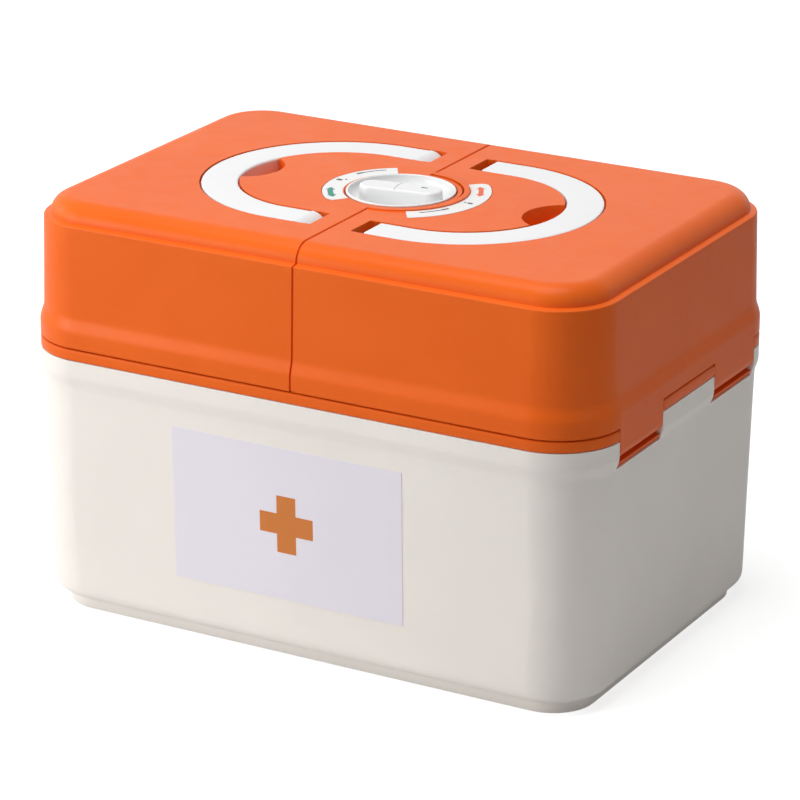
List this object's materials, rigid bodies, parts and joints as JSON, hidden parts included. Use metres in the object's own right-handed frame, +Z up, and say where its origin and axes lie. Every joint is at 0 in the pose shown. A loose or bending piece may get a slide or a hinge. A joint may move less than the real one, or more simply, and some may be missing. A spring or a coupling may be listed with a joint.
{
  "type": "medicine box",
  "caption": "Household medicine box: a drafted bin with two side-opening doors, folding ring handles, a turning lock dial and trays that lift with the doors.",
  "frame": {"origin": "on the floor, under the middle of the box", "axes": "+X to the right across the two doors, -Y towards the front with the label, +Z up"},
  "size_m": [0.3, 0.2034, 0.2026],
  "materials": {
    "orange_shell": "satin injection-moulded polypropylene, orange",
    "white_shell": "satin injection-moulded polypropylene, white",
    "handle_white": "satin white plastic",
    "dial_white": "gloss white plastic",
    "scale_white": "matt white plastic inlay",
    "tray_plastic": "matt translucent-white polypropylene",
    "arm_plastic": "matt white plastic",
    "pin_steel": "plain steel",
    "label_film": "matt printed film"
  },
  "bodies": {
    "base": {"base_bin": "white_shell", "rim_frame": "orange_shell", "front_label": "label_film", "left_hinge_pins": "pin_steel", "right_hinge_pins": "pin_steel", "base_arm_pins": "pin_steel"},
    "left_door": {"left_lid": "orange_shell", "left_lock_cup": "orange_shell", "left_scale_plate": "scale_white", "left_handle_pins": "pin_steel", "left_tray_pins": "pin_steel"},
    "right_door": {"right_lid": "orange_shell", "right_lock_collar": "orange_shell", "right_scale_plate": "scale_white", "right_handle_pins": "pin_steel", "right_tray_pins": "pin_steel"},
    "left_handle_ring": {"left_handle": "handle_white"},
    "right_handle_ring": {"right_handle": "handle_white"},
    "dial": {"lock_dial": "dial_white", "latch_cam": "arm_plastic", "latch_washer": "pin_steel", "latch_screw": "pin_steel"},
    "left_tray_unit": {"left_tray": "tray_plastic", "left_link_pins": "pin_steel"},
    "right_tray_unit": {"right_tray": "tray_plastic", "right_link_pins": "pin_steel"},
    "left_front_link": {"left_front_arm": "arm_plastic"},
    "left_rear_link": {"left_rear_arm": "arm_plastic"},
    "right_front_link": {"right_front_arm": "arm_plastic"},
    "right_rear_link": {"right_rear_arm": "arm_plastic"}
  },
  "joints": [
    {"name": "left_door_hinge", "type": "hinge", "parent": "base", "child": "left_door", "pos_m": [-0.1446, 0, 0.1242], "axis": [0, -1, 0], "range_deg": [0, 95]},
    {"name": "right_door_hinge", "type": "hinge", "parent": "base", "child": "right_door", "pos_m": [0.1446, 0, 0.1242], "axis": [0, 1, 0], "range_deg": [0, 95]},
    {"name": "left_handle_fold", "type": "hinge", "parent": "left_door", "child": "left_handle_ring", "pos_m": [-0.02, 0, 0.1935], "axis": [0, 1, 0], "range_deg": [0, 90]},
    {"name": "right_handle_fold", "type": "hinge", "parent": "right_door", "child": "right_handle_ring", "pos_m": [0.02, 0, 0.1935], "axis": [0, -1, 0], "range_deg": [0, 90]},
    {"name": "dial_turn", "type": "hinge", "parent": "left_door", "child": "dial", "pos_m": [0, 0, 0.195], "axis": [0, 0, -1], "range_deg": [0, 90]},
    {"name": "left_tray_pivot", "type": "hinge", "parent": "left_door", "child": "left_tray_unit", "pos_m": [-0.088, 0, 0.1395], "axis": [0, -1, 0], "range_deg": [-95, 0]},
    {"name": "right_tray_pivot", "type": "hinge", "parent": "right_door", "child": "right_tray_unit", "pos_m": [0.088, 0, 0.1395], "axis": [0, 1, 0], "range_deg": [-95, 0]},
    {"name": "left_front_arm_pivot", "type": "hinge", "parent": "base", "child": "left_front_link", "pos_m": [-0.1146, -0.09205, 0.1112], "axis": [0, -1, 0], "range_deg": [0, 95]},
    {"name": "left_rear_arm_pivot", "type": "hinge", "parent": "base", "child": "left_rear_link", "pos_m": [-0.1146, 0.09205, 0.1112], "axis": [0, -1, 0], "range_deg": [0, 95]},
    {"name": "right_front_arm_pivot", "type": "hinge", "parent": "base", "child": "right_front_link", "pos_m": [0.1146, -0.09205, 0.1112], "axis": [0, 1, 0], "range_deg": [0, 95]},
    {"name": "right_rear_arm_pivot", "type": "hinge", "parent": "base", "child": "right_rear_link", "pos_m": [0.1146, 0.09205, 0.1112], "axis": [0, 1, 0], "range_deg": [0, 95]}
  ],
  "couplings": [
    {"joint": "left_tray_pivot", "follows": "left_door_hinge", "ratio": -1},
    {"joint": "left_front_arm_pivot", "follows": "left_door_hinge", "ratio": 1},
    {"joint": "left_rear_arm_pivot", "follows": "left_door_hinge", "ratio": 1},
    {"joint": "right_tray_pivot", "follows": "right_door_hinge", "ratio": -1},
    {"joint": "right_front_arm_pivot", "follows": "right_door_hinge", "ratio": 1},
    {"joint": "right_rear_arm_pivot", "follows": "right_door_hinge", "ratio": 1}
  ]
}
